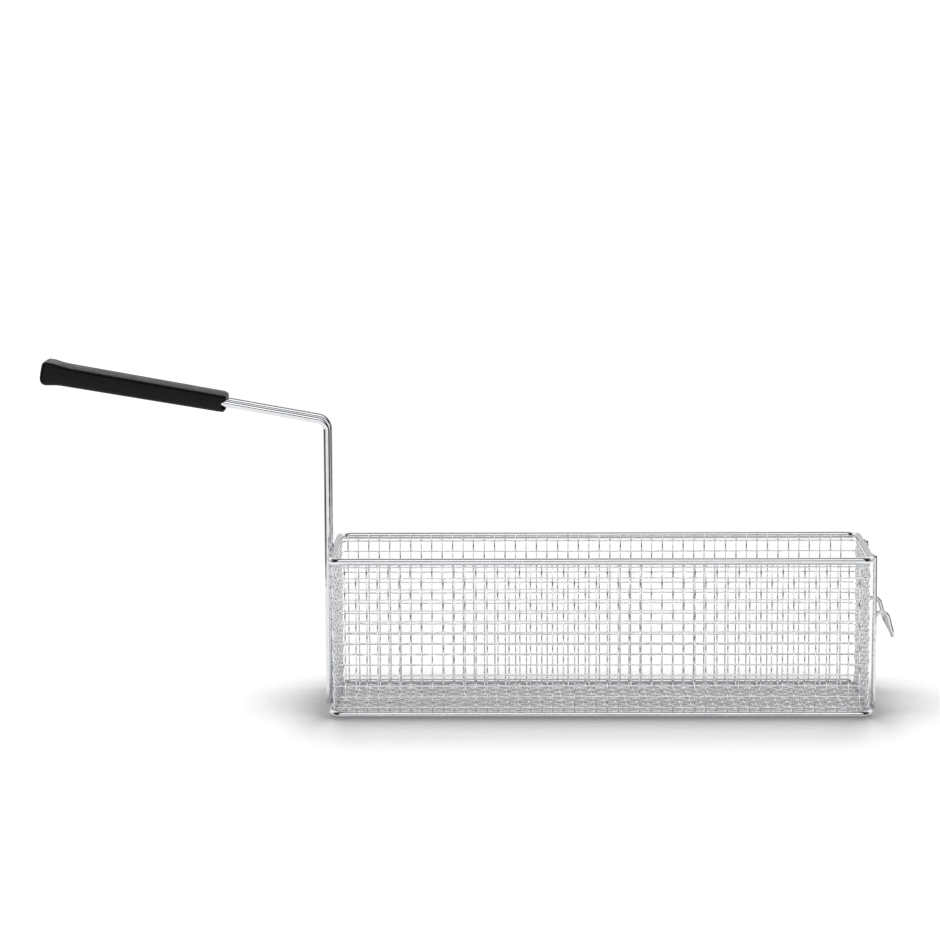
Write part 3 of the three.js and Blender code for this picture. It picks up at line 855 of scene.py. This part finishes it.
def roomLight():
    # soft boxes before and behind with dark gaps between them, which give bright wire its edges
    world = bpy.data.worlds.new("studio_room")
    world.use_nodes = True
    tree = world.node_tree
    tree.nodes.clear()
    toward = addNode(tree, "ShaderNodeTexCoord")
    parts = addNode(tree, "ShaderNodeSeparateXYZ", Vector=(toward, "Generated"))
    front = addNode(tree, "ShaderNodeMath", {"operation": "MULTIPLY"}, i0=(parts, "Y"), i1=-1.0)
    rise = addNode(tree, "ShaderNodeMath", {"operation": "ARCTAN2"}, i0=(parts, "Z"), i1=(front, 0))
    over = addNode(tree, "ShaderNodeMapRange", Value=(rise, 0), From_Min=-math.pi, From_Max=math.pi)
    arch = addNode(tree, "ShaderNodeValToRGB", Fac=(over, "Result"), stops=studio["overhead"])
    turn = addNode(tree, "ShaderNodeMath", {"operation": "ARCTAN2"}, i0=(parts, "X"), i1=(front, 0))
    sideways = addNode(tree, "ShaderNodeMath", {"operation": "ABSOLUTE"}, i0=(turn, 0))
    about = addNode(tree, "ShaderNodeMapRange", Value=(sideways, 0), From_Max=math.pi)
    walls = addNode(tree, "ShaderNodeValToRGB", Fac=(about, "Result"), stops=studio["around"])
    mixed = addNode(tree, "ShaderNodeMix", {"data_type": "RGBA", "blend_type": "MULTIPLY"},
                    i0=1.0, i6=(arch, "Color"), i7=(walls, "Color"))
    room = addNode(tree, "ShaderNodeBackground", Color=(mixed, 2))
    soft = addNode(tree, "ShaderNodeBackground", Color=(1.0, 1.0, 1.0, 1.0), Strength=studio["fill"])
    plain = addNode(tree, "ShaderNodeBackground", Color=(1.0, 1.0, 1.0, 1.0),
                    Strength=studio["backdrop"])
    ray = addNode(tree, "ShaderNodeLightPath")
    lit = addNode(tree, "ShaderNodeMixShader", Fac=(ray, "Is Glossy Ray"), i1=(soft, 0), i2=(room, 0))
    seen = addNode(tree, "ShaderNodeMixShader", Fac=(ray, "Is Camera Ray"), i1=(lit, 0), i2=(plain, 0))
    addNode(tree, "ShaderNodeOutputWorld", Surface=(seen, "Shader"))
    bpy.context.scene.world = world


def highLamp():
    # one broad soft light from behind and above throws the shadow forward
    light = bpy.data.lights.new("high_lamp", "SUN")
    light.energy, light.angle = studio["lampPower"], math.radians(studio["lampSpread"])
    lamp = newObject("high_lamp", light)
    high, turn = math.radians(studio["lampHeight"]), math.radians(studio["lampTurn"])
    place = Vector((math.sin(turn) * math.cos(high), math.cos(turn) * math.cos(high), math.sin(high)))
    lamp.rotation_euler = (-place).to_track_quat("-Z", "Y").to_euler()
    lamp.visible_glossy = False
    # only the basket darkens the table; the handle stands clear of it
    casters = bpy.data.collections.new("shadow_casters")
    for piece in shadowCasters:
        casters.objects.link(piece)
    lamp.light_linking.blocker_collection = casters


view = {
    "place": (-33.2, -2395.3, 486.2),      # mm from the basket's middle, at table height
    "yaw": -1.362, "down": 7.652, "roll": -0.317, "lens": 132.84, "film": 36.0,
}


def makeCamera():
    yaw, down, roll = (math.radians(view[k]) for k in ("yaw", "down", "roll"))
    forward = Vector((math.sin(yaw) * math.cos(down), math.cos(yaw) * math.cos(down), -math.sin(down)))
    right = Vector((math.cos(yaw), -math.sin(yaw), 0))
    upward = right.cross(forward)
    tiltRight = right * math.cos(roll) + upward * math.sin(roll)
    tiltUp = upward * math.cos(roll) - right * math.sin(roll)
    camera = newObject("camera", bpy.data.cameras.new("camera"))
    camera.data.lens, camera.data.sensor_width = view["lens"], view["film"]
    turn = Matrix((tiltRight, tiltUp, -forward)).transposed().to_4x4()
    spot = Vector((view["place"][0] + middleX, view["place"][1], view["place"][2])) * mm
    camera.matrix_world = Matrix.Translation(spot) @ turn
    camera.data.clip_start, camera.data.clip_end = 0.05, 50
    bpy.context.scene.camera = camera


tableTopPiece()
roomLight()
highLamp()
makeCamera()
bpy.context.scene.view_settings.view_transform = "Standard"
bpy.context.scene.view_settings.look = "None"
print("table, light and camera set")
